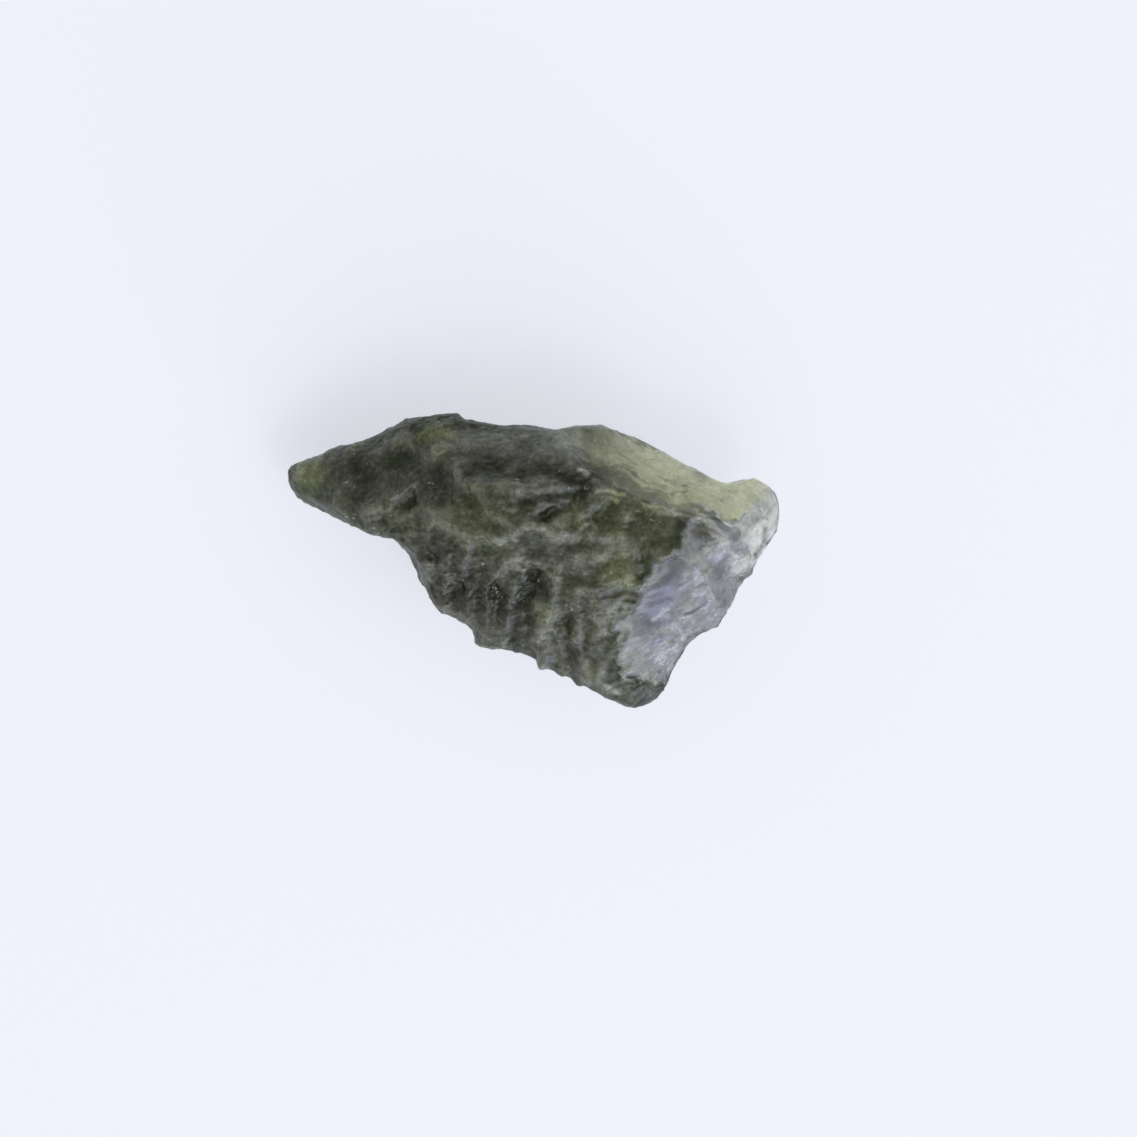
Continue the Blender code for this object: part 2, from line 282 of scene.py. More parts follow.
@dataclass(frozen=True)
class StoneForm:
    """The plain form of the stone: faces and a rim that stop its reach from a heart inside it."""

    heart: Point3 = (1.0, 0.0, 3.2)
    proportions: Point3 = (22.0, 11.9, 7.0)
    rest_depth: float = 0.24
    skin_sharpness: float = 12.0
    break_sharpness: float = 26.0
    rim_roundness: float = 5.6
    skin_faces: tuple[Face, ...] = (
        Face(20.0, 4.0, (0.0, 1.0, 6.4)),
        Face(264.0, 29.0, (0.0, -0.9, 5.5)),
        Face(184.0, 21.0, (-6.0, 0.5, 4.6)),
        Face(126.0, 33.0, (-5.6, 2.4, 4.6)),
        Face(180.0, 8.0, (-3.2, 0.0, 0.0), under=True),
        Face(262.0, 38.0, (0.0, -2.0, 0.0), under=True),
        Face(94.0, 43.0, (0.0, 1.7, 0.0), under=True),
        Face(-14.0, 40.0, (6.2, 0.0, 0.0), under=True),
    )
    wing_faces: tuple[Face, ...] = (Face(82.0, 30.0, (5.0, 3.4, 5.95)),)
    end_faces: tuple[Face, ...] = (
        Face(-40.0, 42.0, (6.0, -0.3, 6.0)),
        Face(-20.0, 55.0, (8.7, 0.5, 4.6)),
    )
    rim: tuple[Point3, ...] = (
        (-11.0, -0.1, 2.0), (-10.3, -0.95, 2.0), (-9.3, -1.2, 2.0), (-7.3, -1.5, 2.1), (-6.6, -1.7, 2.2),
        (-6.0, -1.6, 2.2), (-5.25, -1.85, 2.3), (-4.55, -2.25, 2.4), (-3.5, -3.1, 2.5), (-2.9, -3.65, 2.6),
        (-2.3, -4.05, 2.6), (-1.3, -4.3, 2.7), (0.0, -5.12, 2.8), (1.5, -5.15, 2.9), (3.0, -5.25, 3.0),
        (4.6, -5.55, 3.0), (7.0, -5.95, 2.8), (8.0, -5.4, 2.7), (8.25, -4.0, 2.7), (8.7, -2.4, 2.8),
        (10.0, -0.7, 2.9), (10.2, 0.7, 3.1), (10.55, 1.9, 3.3), (11.0, 4.0, 3.9), (10.6, 5.1, 4.3),
        (9.3, 5.7, 4.5), (8.5, 5.2, 4.6), (7.0, 5.25, 4.7), (5.6, 5.6, 4.7), (3.2, 5.93, 4.5),
        (2.1, 5.93, 4.4), (1.0, 5.65, 4.3), (0.0, 5.25, 4.2), (-2.0, 4.7, 3.9), (-3.9, 4.65, 3.5),
        (-4.4, 4.75, 3.5), (-5.6, 4.05, 3.1), (-6.4, 3.35, 2.9), (-7.0, 3.0, 2.8), (-8.5, 1.95, 2.5),
        (-10.0, 1.0, 2.2), (-10.8, 0.4, 2.1),
    )
    wing_border: tuple[Point2, ...] = (
        (-0.2, 7.0), (0.8, 4.9), (2.15, 3.76), (3.2, 3.5), (4.2, 3.23), (5.4, 3.26), (6.5, 3.11),
        (7.2, 3.32), (9.1, 3.5),
    )
    end_border: tuple[Point2, ...] = (
        (9.0, -5.2), (8.2, -4.85), (7.0, -4.65), (6.2, -4.5), (5.85, -4.3), (5.8, -3.3), (5.4, -2.9),
        (5.3, -1.9), (5.9, -1.65), (6.05, -1.1), (5.85, -0.7), (6.15, -0.1), (6.2, 0.6), (6.9, 1.15),
        (7.15, 2.05), (7.05, 2.85), (7.5, 3.4), (9.1, 3.55), (9.5, 4.15), (9.95, 4.75), (10.3, 5.4),
    )
    border_ramp: Ramp = Ramp(-0.12, 0.12)
    border_side: Ramp = Ramp(-0.25, 0.05)
    border_sway: Hills = Hills(0.3, 0.9, 22.3)
    border_rag: Hills = Hills(0.2, 0.4, 14.3)
    border_fine_rag: Hills = Hills(0.1, 0.15, 15.1)
    undercuts: tuple[Stroke, ...] = (
        Stroke(2.4, 2.4, ((4.6, 3.2), (8.7, 3.2))),
        Stroke(1.6, 2.2, ((0.8, 3.7), (4.4, 3.7))),
    )
    below: Ramp = Ramp(0.0, 0.5)

    def rim_at(self, turn: Array) -> Array:
        """The rim's reach and height above the heart, on a closed cubic curve through its points.

        Args:
            turn: Angles seen from above, in radians.

        Returns:
            Two rows: the level reach and the height at each angle.
        """
        points = np.array(self.rim) - self.heart
        angles = np.arctan2(points[:, 1], points[:, 0])
        order = np.argsort(angles)
        angles, points = angles[order], points[order]
        values = np.stack((np.hypot(points[:, 0], points[:, 1]), points[:, 2]))
        around = 2 * math.pi
        angles = np.concatenate((angles[-2:] - around, angles, angles[:2] + around))
        values = np.concatenate((values[:, -2:], values, values[:, :2]), axis=1)
        slopes = (values[:, 2:] - values[:, :-2]) / (angles[2:] - angles[:-2])
        slopes = np.pad(slopes, ((0, 0), (1, 1)), mode="edge")
        at = np.clip(np.searchsorted(angles, turn) - 1, 0, len(angles) - 2)
        gap = angles[at + 1] - angles[at]
        part = (turn - angles[at]) / gap
        start, end = values[:, at], values[:, at + 1]
        leave, arrive = slopes[:, at] * gap, slopes[:, at + 1] * gap
        return (
            start + (end - start) * part * part * (3 - 2 * part)
            + leave * part * (1 - part) ** 2
            - arrive * part * part * (1 - part)
        )

    def pulls(self, ways: Array, faces: tuple[Face, ...]) -> Array:
        """The pull of each face in each direction, one row each."""
        return np.array([face.pull(ways, np.array(self.heart)) for face in faces])

    def skin_reach(self, ways: Array) -> Array:
        """The reach of the old skin: the faces, the rim and the base joined by a soft power mean.

        Args:
            ways: Unit directions from the heart.

        Returns:
            The reach in each direction.
        """
        level = np.hypot(ways[:, 0], ways[:, 1])
        rim, lift = self.rim_at(np.arctan2(ways[:, 1], ways[:, 0]))
        off_rim = ways[:, 2] - level * lift / rim
        side = np.sqrt((level / rim) ** 2 + (off_rim / self.rim_roundness) ** 2)
        base = np.maximum(-ways[:, 2], 0.0) / (self.heart[2] + self.rest_depth)
        pulls = np.concatenate((self.pulls(ways, self.skin_faces), [side, base]))
        return (pulls**self.skin_sharpness).sum(axis=0) ** (-1 / self.skin_sharpness)

    def reach(self, ways: Array) -> Array:
        """The reach of the whole stone: the old skin cut off by the broken faces, by a sharp power mean.

        Args:
            ways: Unit directions from the heart.

        Returns:
            The reach in each direction.
        """
        skin = self.skin_reach(ways) ** -self.break_sharpness
        broken = (self.pulls(ways, self.wing_faces + self.end_faces) ** self.break_sharpness).sum(axis=0)
        return (skin + broken) ** (-1 / self.break_sharpness)

    def borders(self, points: Array, normals: Array) -> tuple[Array, Array]:
        """Which places belong to the wing, and which to the broken end, by their ragged borders.

        A share is an even S of the way past the border, which soft random hills shift, on the upper side.

        Args:
            points: Places on the plain form.
            normals: Its normals there.

        Returns:
            The wing's share and the broken end's share, from 0 to 1.
        """
        upper = self.border_side.of(normals[:, 2])
        ragged = self.border_rag.at(points) + self.border_fine_rag.at(points)
        end_x, end_y = np.array(self.end_border).T
        row = points[:, 1] + self.border_sway.at(points)[:, 1] + ragged[:, 2]
        past = points[:, 0] - np.interp(row, end_y, end_x) + ragged[:, 0]
        broken = self.border_ramp.of(past) * upper
        wing_x, wing_y = np.array(self.wing_border).T
        above = points[:, 1] - np.interp(points[:, 0], wing_x, wing_y) + ragged[:, 1]
        thin = self.border_ramp.of(above) * upper
        return thin * (1 - broken), broken

    def outline_share(self, ways: Array, turns: int = 720, levels: int = 181) -> Array:
        """How much the form widens at each angle, so that its outline from above is the rim.

        Args:
            ways: Unit directions from the heart.
            turns: Steps round the stone at which the outline is measured.
            levels: Steps from straight down to straight up at each of them.

        Returns:
            The factor on the level reach in each direction.
        """
        turn = np.linspace(-math.pi, math.pi, turns + 1)
        rise = np.linspace(-math.pi / 2, math.pi / 2, levels)
        turn_grid, rise_grid = np.meshgrid(turn, rise, indexing="ij")
        level = np.cos(rise_grid)
        rays = np.stack((level * np.cos(turn_grid), level * np.sin(turn_grid), np.sin(rise_grid)), axis=-1)
        widest = (self.reach(rays.reshape(-1, 3)).reshape(level.shape) * level).max(axis=1)
        return np.interp(np.arctan2(ways[:, 1], ways[:, 0]), turn, self.rim_at(turn)[0] / widest)

    def undercut(self, points: Array, normals: Array) -> Array:
        """How far the underside rises in the wide hollows below the thin back.

        Args:
            points: Places on the plain form.
            normals: Its normals there.

        Returns:
            The rise at each place, 0 wherever the surface looks up.
        """
        rise = np.max([cut.soft(points) for cut in self.undercuts], axis=0)
        return rise * self.below.of(-normals[:, 2])

    def directions(self, block_points: Array) -> Array:
        """Directions spread evenly over the stone: tangents of the block's places, drawn to proportion.

        Args:
            block_points: Places on a cube that reaches from -1 to 1.

        Returns:
            Unit directions from the heart.
        """
        spread = np.tan(block_points * math.pi / 4)
        spread /= np.linalg.norm(spread, axis=1, keepdims=True)
        ways = spread * self.proportions
        return ways / np.linalg.norm(ways, axis=1, keepdims=True)


@dataclass(frozen=True)
class Sculpture:
    """The relief on the plain form: crests, flutes, hollows and pits on the skin, scars on the breaks."""

    crests: tuple[Stroke, ...] = (
        Stroke(0.42, 0.36, ((-4.5, 2.4), (-3.5, 3.3), (-1.5, 3.9), (1.8, 3.8), (4.0, 3.5))),
        Stroke(0.22, 0.28, ((4.0, 3.5), (5.2, 3.3), (6.5, 3.15), (7.2, 3.6), (9.2, 3.5))),
        Stroke(0.5, 0.32, ((-3.6, 2.3), (-3.3, 1.7), (-2.4, 1.5), (-1.2, 1.9), (0.5, 2.6), (2.6, 3.3))),
        Stroke(0.48, 0.3, ((-4.2, 0.0), (-2.3, -0.25), (-0.9, -0.25), (0.25, 0.65), (1.7, 0.9), (2.9, 1.4))),
        Stroke(0.4, 0.3, ((-0.2, -1.15), (1.1, -0.6), (2.4, -0.3), (3.6, 0.5))),
        Stroke(0.4, 0.36, ((2.6, -1.5), (3.5, -1.2), (4.5, -0.7), (5.2, 0.1))),
        Stroke(0.34, 0.32, ((3.4, 1.3), (4.6, 1.1), (5.8, 1.0), (7.0, 1.1))),
        Stroke(0.4, 0.3, ((-6.9, -0.7), (-6.15, -0.3), (-5.75, 0.55), (-5.45, 0.95))),
        Stroke(0.26, 0.28, ((-6.8, 2.3), (-6.0, 2.5), (-5.2, 2.3), (-4.5, 2.6))),
        Stroke(0.26, 0.26, ((-4.1, -0.5), (-4.0, -1.3), (-3.7, -2.4), (-3.5, -3.0))),
        Stroke(0.28, 0.24, ((-3.2, -1.0), (-3.1, -2.0), (-2.5, -3.4), (-2.3, -3.9))),
        Stroke(0.3, 0.24, ((-2.3, -0.9), (-2.3, -1.7), (-1.7, -2.8), (-1.3, -4.2))),
        Stroke(0.4, 0.28, ((-0.4, -1.0), (-0.8, -2.2), (-0.6, -3.6), (-0.3, -5.0))),
        Stroke(0.3, 0.24, ((0.9, -1.2), (0.4, -2.1), (0.3, -3.4), (0.1, -4.6))),
        Stroke(0.42, 0.36, ((2.0, -1.1), (2.1, -2.5), (2.1, -3.6), (2.7, -5.1))),
        Stroke(0.32, 0.24, ((3.2, -1.6), (3.6, -2.8), (3.9, -3.6), (4.6, -5.4))),
        Stroke(0.26, 0.3, ((4.3, -1.6), (4.6, -3.4), (5.3, -5.4))),
    )
    hollows: tuple[Bowl, ...] = (
        Bowl(-5.2, 0.35, 0.6, 0.4),
        Bowl(-0.25, 1.45, 0.45, 0.22),
        Bowl(1.0, 1.4, 0.4, 0.26),
        Bowl(0.9, -2.5, 0.45, 0.28),
        Bowl(-0.5, -2.7, 0.4, 0.26),
        Bowl(-6.0, 1.9, 0.7, 0.24),
        Bowl(-1.0, 3.9, 0.5, 0.2),
        Bowl(-2.4, 1.0, 0.6, 0.26),
        Bowl(1.4, 2.6, 0.65, 0.34),
        Bowl(3.4, 2.2, 0.5, 0.34),
        Bowl(5.7, 0.25, 0.55, 0.34),
        Bowl(1.4, -1.7, 0.55, 0.4),
        Bowl(-3.6, -1.7, 0.4, 0.26),
        Bowl(-2.1, -3.2, 0.5, 0.26),
        Bowl(0.7, -4.3, 0.5, 0.24),
        Bowl(3.2, -3.2, 0.55, 0.3),
        Bowl(-5.4, 3.2, 0.8, 0.14),
        Bowl(-2.2, 2.9, 0.8, 0.18),
    )
    scars: tuple[Bowl, ...] = (
        Bowl(7.2, -0.9, 2.4, 0.38),
        Bowl(8.3, 1.8, 1.2, 0.26),
        Bowl(7.75, 2.65, 0.75, 0.24),
        Bowl(9.7, 1.0, 1.3, 0.26),
        Bowl(10.0, 3.2, 1.3, 0.3),
        Bowl(7.3, -3.4, 1.4, 0.26),
        Bowl(7.0, -5.1, 0.8, 0.26),
        Bowl(6.4, 0.9, 0.35, 0.14),
        Bowl(5.5, -1.9, 0.5, 0.2),
        Bowl(5.6, -2.9, 0.35, 0.14),
        Bowl(8.6, -2.0, 0.5, 0.16),
    )
    lumps: Pits = Pits(1.9, 0.6, 1.8, 0.0, 0.0)
    folds: Pits = Pits(0.85, 0.13, 1.7, 14.0, 1.7)
    flutes: Pits = Pits(0.62, 0.15, 2.6, 97.0, 2.9)
    small_pits: Pits = Pits(0.3, 0.13, 1.6, 24.0, 4.1)
    fine_pits: Pits = Pits(0.17, 0.08, 1.3, 60.0, 5.3)
    chips: Pits = Pits(0.9, 0.12, 2.2, 50.0, 6.1)
    small_chips: Pits = Pits(0.32, 0.09, 1.8, 35.0, 17.3)
    waver: Hills = Hills(0.26, 0.7, 7.7)
    crest_share: float = 0.6
    crest_breaks: Hills = Hills(0.45, 0.9, 8.3)
    drawn_side: Ramp = Ramp(-0.3, 0.15)
    lump_rise: Ramp = Ramp(0.3, 1.3)
    wing_calm: float = 0.45
    scar_side: Ramp = Ramp(-0.1, 0.4)
    scar_waver: float = 0.3
    nick_depth: float = 0.4
    nick_hills: Hills = Hills(1.0, 0.6, 23.3)
    nick_ramp: Ramp = Ramp(0.1, 0.7)
    flat_ramp: Ramp = Ramp(0.1, 0.6)
    front: Ramp = Ramp(0.4, 1.8)
    front_slant: float = 0.2
    pit_share: float = 0.65
    pit_patches: Hills = Hills(0.35, 1.6, 9.1)
    wing_smooth: float = 0.6
    wing_smoothest: float = 0.85
    side_share: float = 0.65
    rest_calm: Ramp = Ramp(0.02, 0.4)
    smooth_scar: Stroke = SMOOTH_SCAR
    ripple_heart: Point2 = (5.4, 0.6)
    ripple_spacing: float = 0.5
    ripple_height: float = 0.002
    ripple_sway: Hills = Hills(0.6, 1.2, 3.3)

    def wavered(self, points: Array) -> Array:
        """The places shifted by soft random hills, so that drawn lines wander as etched ones do."""
        return points + self.waver.at(points)

    def drawn(self, points: Array, normals: Array) -> Array:
        """The height of the single features: crests, broken up by soft hills, less the hollows.

        Args:
            points: Places on the plain form.
            normals: Its normals there.

        Returns:
            The height along the normal, 0 on the underside.
        """
        moved = self.wavered(points)
        broken_up = self.crest_share + self.crest_breaks.at(points)[:, 0]
        height = sum(crest.crest(moved) for crest in self.crests) * broken_up
        height -= sum(hollow.soft(moved) for hollow in self.hollows)
        return height * self.drawn_side.of(normals[:, 2])

    def large(self, points: Array, normals: Array, wing: Array, end: Array) -> Array:
        """The height of the large relief: the single features and lumps, less the scars and rim nicks.

        Where scars cross, the deepest counts. Nicks stand where random hills are high, along the rim.

        Args:
            points: Places on the plain form.
            normals: Its normals there.
            wing: The wing's share at each place.
            end: The broken end's share.

        Returns:
            The height along the normal.
        """
        lumpy = self.lumps.height(points) * self.lump_rise.of(points[:, 2])
        skin = self.drawn(points, normals) + lumpy
        moved = points + self.scar_waver * (self.wavered(points) - points)
        upper = self.scar_side.of(normals[:, 2])
        scars = np.max([scar.crisp(moved) for scar in self.scars], axis=0) * upper
        nicks = self.nick_depth * self.nick_ramp.of(self.nick_hills.at(points)[:, 0])
        at_rim = 1 - self.flat_ramp.of(np.abs(normals[:, 2]))
        return skin * (1 - self.wing_calm * wing) * (1 - end) - (scars + nicks * at_rim) * end

    def fine(self, points: Array, normals: Array, wing: Array, end: Array) -> Array:
        """The height of the etched folds and pits, faint on the wing, and of the chips on the broken end.

        Folds give way to flutes on the front slope. All of it fades towards the surface it rests on.

        Args:
            points: Places on the stone with its large relief.
            normals: The plain form's normals there.
            wing: The wing's share at each place.
            end: The broken end's share.

        Returns:
            The height along the normal.
        """
        moved = self.wavered(points)
        front = self.front.of(-points[:, 1] - self.front_slant * points[:, 0])
        patchy = self.pit_share + self.pit_patches.at(points)[:, 0]
        etched = self.folds.height(moved) * (1 - front) + self.flutes.height(moved) * front
        etched = (etched + self.small_pits.height(moved) * patchy) * (1 - self.wing_smooth * wing)
        etched += self.fine_pits.height(points) * (1 - self.wing_smoothest * wing)
        away = np.hypot(points[:, 0] - self.ripple_heart[0], points[:, 1] - self.ripple_heart[1])
        swing = away / self.ripple_spacing + self.ripple_sway.at(points)[:, 1]
        glassy = self.ripple_height * np.sin(2 * math.pi * swing)
        rough = 1 - self.smooth_scar.soft(points)
        glassy += (self.chips.height(moved) + self.small_chips.height(moved) * patchy) * rough
        flat = self.side_share + (1 - self.side_share) * self.flat_ramp.of(np.abs(normals[:, 2]))
        return (etched * (1 - end) * flat + glassy * end) * self.rest_calm.of(points[:, 2])


@dataclass(frozen=True)
class SkinTone:
    """The tone of the glass at its skin: painted shade darkens the valleys, a painted highlight lightens the
    crests, and it is palest on the wing.
    """

    # painted shade: the valleys are toned dark for the shade that falls in them
    valley_shade: Point3 = (0.035, 0.042, 0.02)
    # painted highlight: the crests are toned pale for the light they catch
    crest: Point3 = (0.63, 0.63, 0.53)
    wing: Point3 = (1.0, 1.0, 0.73)
    # painted reflection: the smooth scar's dark lavender stands for the bluish light it mirrors
    scar: Point3 = (0.165, 0.165, 0.28)
    # painted highlight: the white of glints and bright streaks
    highlight_white: Point3 = (1.0, 1.0, 1.0)
    brown: Point3 = (0.4, 0.35, 0.25)
    # painted reflection: the chipped break's pale lavender stands for the bluish light it mirrors
    chips: Point3 = (0.88, 0.89, 1.0)
    under: Point3 = (0.42, 0.45, 0.3)
    under_wing: Point3 = (0.9, 0.93, 0.78)
    gap: Point3 = (0.36, 0.38, 0.32)
    # painted glow: a bright green for light that shines through the glass
    glow_green: Point3 = (0.62, 0.68, 0.32)
    smooth_scar: Stroke = SMOOTH_SCAR
    stain: Bowl = Bowl(7.8, 2.7, 0.5, 0.9)
    # painted glow: the patches where the glass is toned to shine green
    glow_patches: tuple[Bowl, ...] = (
        Bowl(5.6, 2.2, 1.3, 0.75),
        Bowl(4.8, -0.1, 1.0, 1.0),
        Bowl(2.1, -2.9, 0.7, 0.35),
        Bowl(-1.8, 0.4, 1.7, 0.45),
        Bowl(3.9, 2.5, 1.2, 1.0),
        Bowl(2.1, 1.8, 0.7, 0.7),
        Bowl(4.9, -4.6, 0.5, 0.5),
        Bowl(-5.0, 3.4, 0.9, 0.85),
        Bowl(-10.0, 0.1, 0.8, 0.7),
    )
    # painted highlights: glints and bright streaks on crests, the wing's border and the break
    painted_highlights: tuple[Bowl | Stroke, ...] = (
        Stroke(1.0, 0.45, ((7.7, 1.3), (8.1, 1.6), (8.9, 2.5))),
        Stroke(0.9, 0.3, ((7.1, -2.4), (7.7, -2.0), (8.0, -1.9))),
        Stroke(0.9, 0.22, ((5.0, -2.0), (5.05, -1.7), (5.4, -1.5))),
        Stroke(1.0, 0.22, ((5.6, -2.5), (5.75, -2.7), (5.7, -3.15))),
        Stroke(1.0, 0.2, ((8.65, 0.6), (8.8, 0.2), (8.9, -0.2))),
        Stroke(0.9, 0.26, ((10.0, 2.1), (10.3, 2.7), (10.45, 3.4), (10.8, 4.3))),
        Stroke(0.7, 0.2, ((6.3, -3.7), (7.2, -3.5), (8.0, -3.1))),
        Stroke(0.7, 0.16, ((6.4, -4.2), (7.2, -4.05), (7.8, -3.6))),
        Stroke(0.9, 0.24, ((7.8, -3.6), (8.1, -3.0), (8.4, -2.2))),
        Stroke(0.8, 0.16, ((6.8, -1.9), (7.05, -1.5), (7.3, -1.2))),
        Stroke(1.0, 0.28, ((5.75, -5.4), (6.2, -5.5))),
        Stroke(1.0, 0.35, ((9.9, 5.1), (10.15, 5.1))),
        Stroke(1.0, 0.2, ((10.9, 4.5), (10.95, 3.9))),
        Stroke(1.0, 0.16, ((9.2, 0.3), (9.5, 0.9), (9.9, 1.3))),
        Stroke(0.36, 1.1, ((-3.6, 3.6), (-1.5, 4.1), (1.0, 4.6))),
        Stroke(1.0, 0.24, ((-3.6, 2.35), (-3.45, 1.8))),
        Stroke(1.0, 0.2, ((1.7, 3.7), (2.1, 3.7))),
        Stroke(0.9, 0.18, ((2.3, 1.8), (2.5, 1.8))),
        Stroke(0.7, 0.2, ((-0.9, -0.3), (-0.2, -0.2))),
        Stroke(0.8, 0.2, ((0.3, -1.3), (0.5, -1.3))),
        Stroke(0.8, 0.16, ((5.2, 3.4), (6.4, 3.15), (7.2, 3.4))),
        Stroke(1.0, 0.16, ((7.2, 3.75), (7.7, 3.62), (8.3, 3.75))),
        Stroke(0.5, 0.16, ((3.6, -2.8), (3.9, -3.6), (4.4, -4.9))),
    )
    shades: tuple[Bowl | Stroke, ...] = (
        Stroke(0.9, 0.16, ((6.5, -4.7), (6.85, -4.65), (7.05, -5.0))),
        Stroke(0.7, 0.14, ((8.2, -1.2), (8.6, -0.8), (8.9, -0.4))),
        Stroke(0.7, 0.22, ((10.45, 2.3), (10.7, 3.0), (10.55, 3.6))),
        Stroke(0.6, 0.12, ((6.6, 3.2), (8.2, 3.35), (9.2, 3.5))),
        Bowl(9.1, 1.1, 0.5, 0.5),
        Stroke(0.45, 0.5, ((9.6, 3.6), (10.3, 4.5))),
        Bowl(7.1, 5.15, 0.45, 0.5),
        Bowl(-7.6, 0.7, 1.9, 0.85),
        Bowl(-4.6, 1.6, 1.6, 0.55),
        Bowl(1.2, -2.1, 0.9, 0.6),
        Bowl(4.4, -4.0, 1.0, 0.35),
        Bowl(7.1, -5.25, 0.6, 0.7),
        Bowl(6.95, -5.2, 0.24, 0.9),
        Stroke(0.8, 1.8, ((-3.4, -1.6), (-1.2, -2.8), (0.6, -3.1))),
    )
    clouds: Hills = Hills(0.16, 1.1, 10.9)
    small_clouds: Hills = Hills(0.1, 0.22, 11.3)
    tone_lift: float = 0.17
    tone_range: float = 0.75
    tone_bend: float = 1.4
    glow_least: float = 0.4
    thinnest: Ramp = Ramp(0.8, 5.4)
    thinnest_sway: Hills = Hills(0.5, 0.8, 21.7)
    wing_pale: Ramp = Ramp(-0.5, -0.15)
    line_waver: Hills = Hills(0.2, 0.6, 18.1)
    line_turn: float = 40.0
    line_draw: float = 2.4
    gap_hills: Hills = Hills(1.0, 0.34, 20.9)
    gap_ramp: Ramp = Ramp(0.15, 0.5)
    gap_share: float = 0.6
    # painted highlight streaks on the hackly break, where random hills cross 0
    streak_hills: Hills = Hills(1.0, 0.4, 19.3)
    streak_ramp: Ramp = Ramp(0.02, 0.14)
    streak_share: float = 0.9
    mark_waver: Hills = Hills(0.12, 0.3, 16.7)
    below: Ramp = Ramp(0.0, 0.5)
    under_back: Ramp = Ramp(0.8, 2.6)
    under_along: Ramp = Ramp(-1.0, 2.0)
    under_share: float = 0.8

    def skin(self, points: Array, height: Array, wing: Array) -> Array:
        """The old skin's tone: from the painted shade of the valleys to the painted highlight of the crests,
        by a power of the clouded height's share of its range.

        Painted glow, a bright green for light shining through the glass, then lies over the glow patches,
        most on the crests, and the wing turns pale where it is thin.

        Args:
            points: Places on the stone.
            height: The relief's height in millimetres.
            wing: The wing's share at each place.

        Returns:
            Linear red, green and blue, one row a place.
        """
        clouded = height + (self.clouds.at(points)[:, 2] + self.small_clouds.at(points)[:, 2])
        # raised runs from the painted valley shade to the painted crest highlight
        raised = np.clip((clouded + self.tone_lift) / self.tone_range, 0.0, 1.0) ** self.tone_bend
        tone = blend(np.ones_like(points) * self.valley_shade, self.crest, raised)
        # painted glow laid over the glow patches
        window = np.max([window.soft(points) for window in self.glow_patches], axis=0)
        tone = blend(tone, self.glow_green, window * (self.glow_least + (1 - self.glow_least) * raised))
        thinnest = self.thinnest.of(points[:, 0] + self.thinnest_sway.at(points)[:, 0])
        return blend(tone, self.wing, thinnest * wing * self.wing_pale.of(clouded))

    def broken(self, tone: Array, points: Array, end: Array) -> Array:
        """The tone with the broken end laid over it: the chips' painted pale lavender reflection, the stain,
        the smooth scar's painted lavender reflection, gaps and painted highlight streaks.

        Gaps lie where drawn-out random hills are high, and the painted highlight streaks where others cross
        0.

        Args:
            tone: The old skin's tone.
            points: Places on the stone.
            end: The broken end's share at each place.

        Returns:
            The blended tone.
        """
        smooth = self.smooth_scar.soft(points)
        # painted reflections: the chips' and the smooth scar's lavender tones
        tone = blend(tone, self.chips, end)
        tone = blend(tone, self.brown, end * self.stain.soft(points))
        tone = blend(tone, self.scar, end * smooth)
        lines = drawn_out(points + self.line_waver.at(points), self.line_turn, self.line_draw)
        hackly = end * (1 - smooth)
        gaps = self.gap_ramp.of(self.gap_hills.at(lines)[:, 1])
        tone = blend(tone, self.gap, self.gap_share * hackly * gaps)
        # painted highlight streaks
        highlight_streaks = 1 - self.streak_ramp.of(np.abs(self.streak_hills.at(lines)[:, 0]))
        return blend(tone, self.highlight_white, self.streak_share * hackly * highlight_streaks)

    def colours(self, points: Array, normals: Array, height: Array, wing: Array, end: Array) -> Array:
        """The tone of skin and break, with the painted highlights and painted shades on it and the
        underside's tones.

        Args:
            points: Places on the stone.
            normals: Its normals there.
            height: The relief's height in millimetres.
            wing: The wing's share at each place.
            end: The broken end's share.

        Returns:
            Linear red, green and blue, one row a place.
        """
        tone = self.broken(self.skin(points, height, wing), points, end)
        moved = points + self.mark_waver.at(points)
        # painted highlights laid over the tone
        tone = blend(tone, self.highlight_white, np.max([mark.soft(moved) for mark in self.painted_highlights], axis=0))
        tone *= 1 - np.max([shade.soft(points) for shade in self.shades], axis=0)[:, None]
        below = self.under_share * self.below.of(-normals[:, 2])
        tone = blend(tone, self.under, below)
        thin = self.under_back.of(points[:, 1]) * self.under_along.of(points[:, 0])
        return blend(tone, self.under_wing, below * thin)


def combined(tree: Tree, operation: str, *values: Socket) -> Socket:
    """A sum worked out at each point.

    Args:
        tree: The nodes it is added to.
        operation: The kind of sum.
        *values: What goes into it, in order.

    Returns:
        Its result.
    """
    node = tree.nodes.new("ShaderNodeMath")
    node.operation = operation
    for value, place in zip(values, node.inputs):
        tree.links.new(value, place)
    return node.outputs["Value"]


def spread(tree: Tree, value: Socket, given: Point2, wanted: Point2, kind: str = "LINEAR") -> Socket:
    """A value spread from one range to another, and kept inside it.

    Args:
        tree: The nodes it is added to.
        value: The value.
        given: The range it comes in.
        wanted: The range it goes to.
        kind: Even, or by an even S.

    Returns:
        The spread value.
    """
    node = tree.nodes.new("ShaderNodeMapRange")
    node.interpolation_type = kind
    for name, end in zip(("From Min", "From Max", "To Min", "To Max"), given + wanted):
        node.inputs[name].default_value = end
    tree.links.new(value, node.inputs["Value"])
    return node.outputs["Result"]


